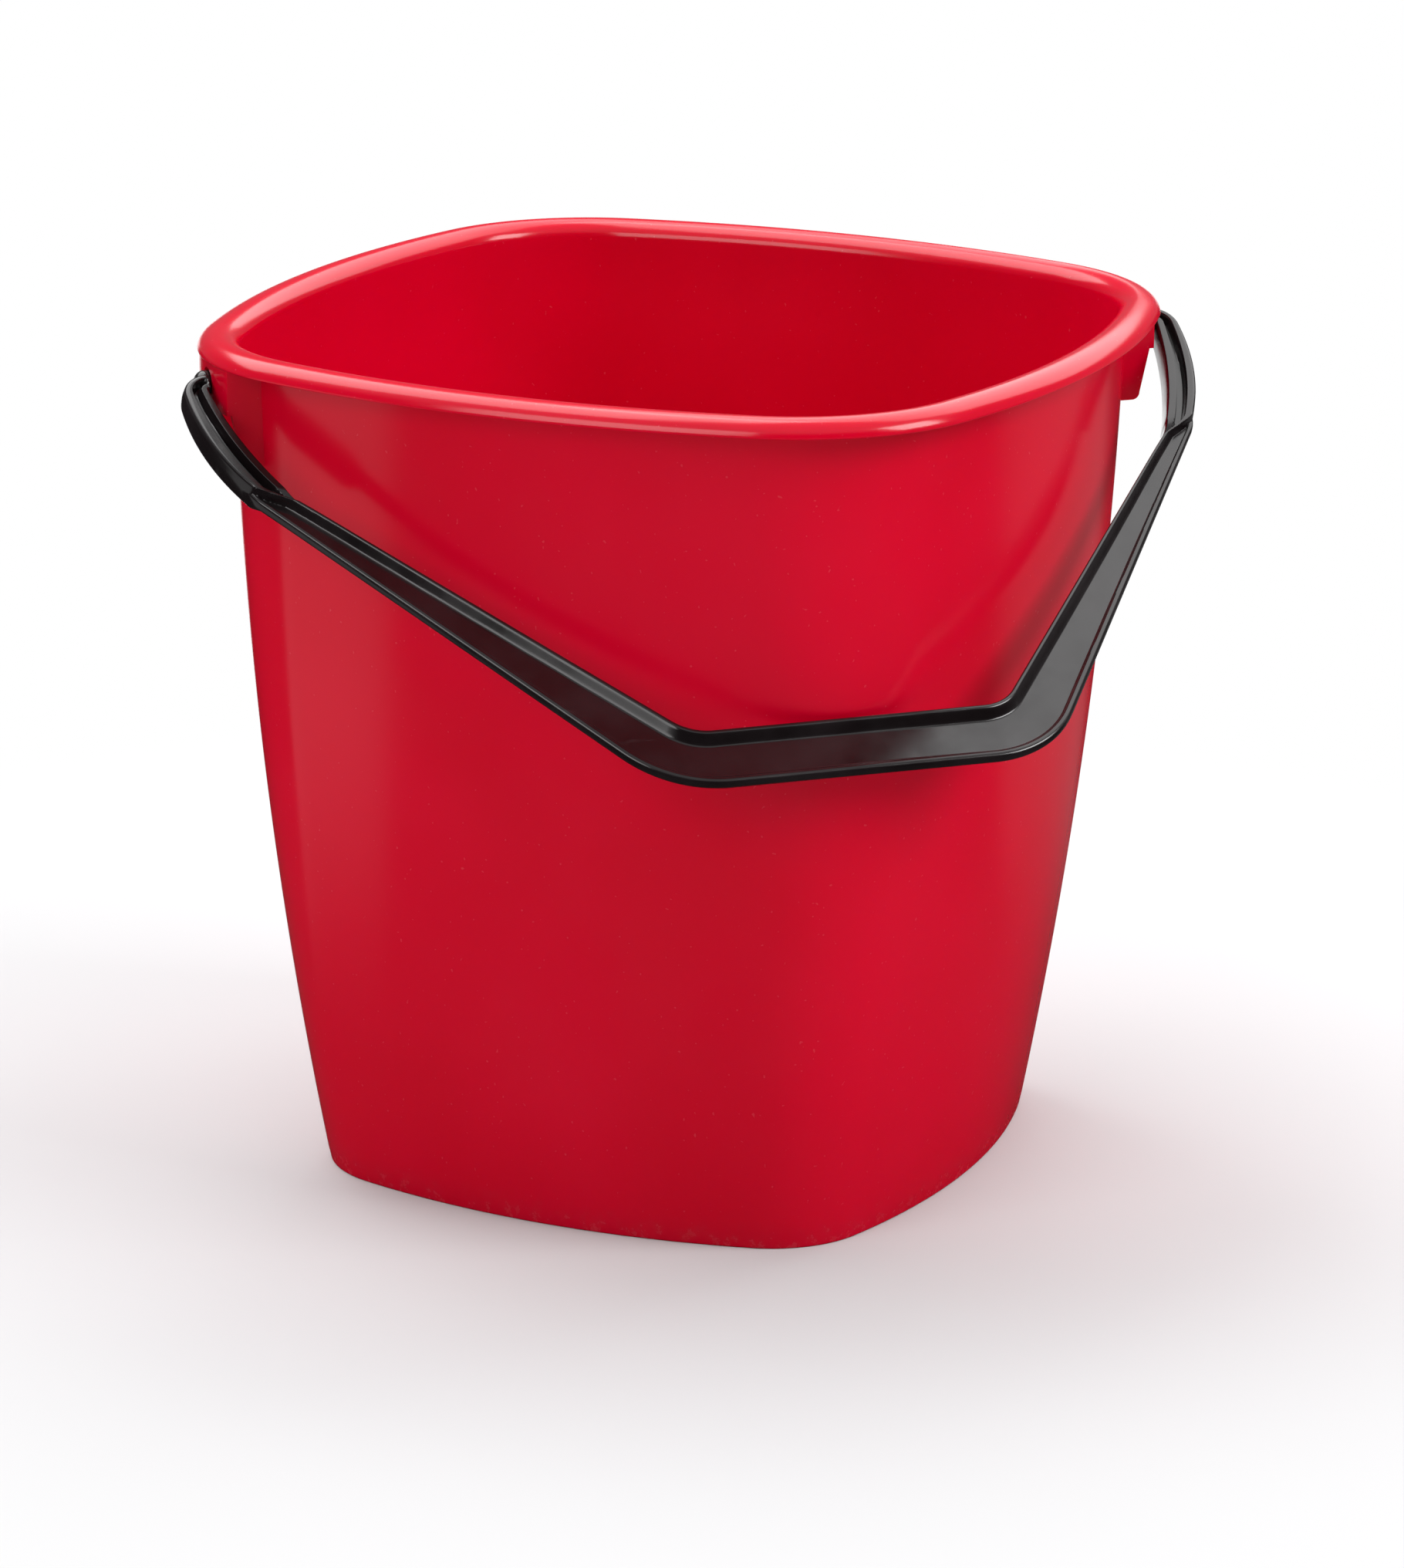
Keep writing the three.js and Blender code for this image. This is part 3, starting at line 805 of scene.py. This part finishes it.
# Metres from the middle over which the table fades into the white surround.
FADE_START = 0.20
FADE_END = 0.52


def floor_material():
    """A pale table that fades into the white surround, and is dimmer in reflections."""
    material = bpy.data.materials.new("studio_floor")
    n = Nodes(material)
    base = n.mix(n.ramp(n.noise(3, 2), 0.3, 0.7), (0.60, 0.605, 0.615, 1), (0.61, 0.615, 0.625, 1))
    n.link(base, n.shader.inputs["Base Color"])
    n.shader.inputs["Roughness"].default_value = 0.9
    n.shader.inputs["Specular IOR Level"].default_value = 0.1
    glow = n.add("ShaderNodeEmission")
    path = n.add("ShaderNodeLightPath")
    heading = n.add("ShaderNodeVectorMath", operation="NORMALIZE")
    n.link(n.scaled((1, 1, 0)), heading.inputs[0])
    lobes = FLOOR_DIM_GLOW
    for angle, reach, level in FLOOR_LOBES:
        towards = n.add("ShaderNodeVectorMath", operation="DOT_PRODUCT")
        towards.inputs[1].default_value = (math.cos(math.radians(angle)), math.sin(math.radians(angle)), 0)
        n.link(heading.outputs["Vector"], towards.inputs[0])
        edge = math.cos(math.radians(reach))
        lobes = n.math("ADD", n.ramp(towards.outputs["Value"], edge, lerp(edge, 1, 0.35), 0, level), lobes)
    tone = n.add("ShaderNodeMix", data_type="FLOAT")
    n.link(path.outputs["Is Glossy Ray"], tone.inputs[0])
    tone.inputs[2].default_value = 1.0
    n.link(lobes, tone.inputs[3])
    n.link(tone.outputs[0], glow.inputs["Strength"])
    dim = n.add("ShaderNodeBsdfDiffuse")
    dim.inputs["Color"].default_value = (0.03, 0.03, 0.03, 1)
    reach = n.add("ShaderNodeVectorMath", operation="LENGTH")
    n.link(n.scaled((1, 1, 0)), reach.inputs[0])
    near = n.add("ShaderNodeMixShader")
    n.link(path.outputs["Is Glossy Ray"], near.inputs[0])
    n.link(n.shader.outputs[0], near.inputs[1])
    n.link(dim.outputs[0], near.inputs[2])
    fade = n.add("ShaderNodeMixShader")
    n.link(n.ramp(reach.outputs["Value"], FADE_START, FADE_END), fade.inputs[0])
    n.link(near.outputs[0], fade.inputs[1])
    n.link(glow.outputs[0], fade.inputs[2])
    n.link(fade.outputs[0], n.output.inputs["Surface"])
    return material


# ---------------------------------------------------------------- the object

red = bucket_body()
red.data.materials.clear()
red.data.materials.append(red_plastic())
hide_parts("bucket_body")
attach(red, "bucket")

black = bail()
black.data.materials.clear()
black.data.materials.append(black_plastic())
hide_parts("bail_handle")
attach(black, "bail")

# ---------------------------------------------------------------- stage, light and camera

STAGE_HALF = 6000
MIDDLE_Z = 0.14

stage_corners = [(x * STAGE_HALF, y * STAGE_HALF, 0) for x, y in ((-1, -1), (1, -1), (1, 1), (-1, 1))]
floor = new_object("floor", stage_corners, [(0, 1, 2, 3)])
floor.data.materials.append(floor_material())


def softbox(name, place, target, size, power):
    light = bpy.data.lights.new(name, "AREA")
    light.shape = "RECTANGLE"
    light.size, light.size_y = size
    light.energy = power
    obj = bpy.data.objects.new(name, light)
    obj.location = place
    obj.rotation_mode = "QUATERNION"
    obj.rotation_quaternion = (Vector(target) - Vector(place)).to_track_quat("-Z", "Y")
    obj.visible_camera = False
    bpy.context.scene.collection.objects.link(obj)


middle = (0, 0, MIDDLE_Z)
softbox("top", (0.95, 0.75, 1.35), (0.05, 0, 0.1), (1.7, 1.7), 18)
softbox("top_left", (-0.5, 0.75, 1.6), (0, 0, 0.1), (1.5, 1.5), 25)
softbox("right_front", (1.3, -1.1, 1.2), middle, (0.9, 0.9), 25)
softbox("left", (-1.35, -0.9, 0.9), middle, (1.1, 0.9), 11)

# The camera's direction from the object, in radians, as fitted to the photograph.
AZIMUTH = -0.3500147
ELEVATION = 0.2815867


def studio_world():
    """White to look at. As light, a bright dome over a horizon that is dark on the camera's side."""
    world = bpy.data.worlds.new("studio")
    bpy.context.scene.world = world
    world.use_nodes = True
    tree = world.node_tree
    tree.nodes.clear()
    out = tree.nodes.new("ShaderNodeOutputWorld")
    mixer = tree.nodes.new("ShaderNodeMixShader")
    seen = tree.nodes.new("ShaderNodeBackground")
    seen.inputs["Color"].default_value = (1, 1, 1, 1)
    seen.inputs["Strength"].default_value = 1.0
    lit = tree.nodes.new("ShaderNodeBackground")
    lit.inputs["Strength"].default_value = 0.65
    path = tree.nodes.new("ShaderNodeLightPath")
    where = tree.nodes.new("ShaderNodeTexCoord")

    def ramp(vector, low, high, a, b):
        dot = tree.nodes.new("ShaderNodeVectorMath")
        dot.operation = "DOT_PRODUCT"
        dot.inputs[1].default_value = vector
        node = tree.nodes.new("ShaderNodeMapRange")
        node.interpolation_type = "SMOOTHSTEP"
        node.inputs["From Min"].default_value = low
        node.inputs["From Max"].default_value = high
        node.inputs["To Min"].default_value = a
        node.inputs["To Max"].default_value = b
        tree.links.new(where.outputs["Generated"], dot.inputs[0])
        tree.links.new(dot.outputs["Value"], node.inputs["Value"])
        return node.outputs[0]

    side = ramp((math.sin(AZIMUTH), -math.cos(AZIMUTH), 0), -0.2, 0.6, 0.22, 0.04)
    above = ramp((0, 0, 1), 0.35, 0.75, 0.0, 1.0)
    both = tree.nodes.new("ShaderNodeMath")
    both.operation = "MAXIMUM"
    tree.links.new(side, both.inputs[0])
    tree.links.new(above, both.inputs[1])
    tree.links.new(both.outputs[0], lit.inputs["Color"])
    tree.links.new(path.outputs["Is Camera Ray"], mixer.inputs[0])
    tree.links.new(lit.outputs[0], mixer.inputs[1])
    tree.links.new(seen.outputs[0], mixer.inputs[2])
    tree.links.new(mixer.outputs[0], out.inputs[0])


studio_world()
bpy.context.scene.view_settings.view_transform = "Standard"


def rotated(vector, axis, angle):
    axis = axis / np.linalg.norm(axis)
    c, s = math.cos(angle), math.sin(angle)
    return vector * c + np.cross(axis, vector) * s + axis * (axis @ vector) * (1 - c)


def add_camera():
    """The photograph's camera: metres away, and the focal length as a share of the picture's height."""
    distance = 2.04502
    sensor = 36
    focal_share = 8026.09 / 2032
    pan, tilt, roll = -0.0031458, -0.0093597, -0.0081377
    back = np.array([
        math.sin(AZIMUTH) * math.cos(ELEVATION),
        -math.cos(AZIMUTH) * math.cos(ELEVATION),
        math.sin(ELEVATION),
    ])
    place = np.array([0, 0, MIDDLE_Z]) + back * distance
    forward = -back
    right = np.cross(forward, [0, 0, 1])
    right /= np.linalg.norm(right)
    up = np.cross(right, forward)
    forward, right = rotated(forward, up, pan), rotated(right, up, pan)
    forward, up = rotated(forward, right, tilt), rotated(up, right, tilt)
    right, up = rotated(right, forward, roll), rotated(up, forward, roll)
    data = bpy.data.cameras.new("camera")
    data.sensor_fit = "AUTO"
    data.sensor_width = sensor
    data.lens = sensor * focal_share
    data.clip_end = 60
    obj = bpy.data.objects.new("camera", data)
    matrix = np.eye(4)
    matrix[:3, :] = np.stack([right, up, -forward, place], axis=1)
    obj.matrix_world = Matrix(matrix.tolist())
    bpy.context.scene.collection.objects.link(obj)
    bpy.context.scene.camera = obj


add_camera()
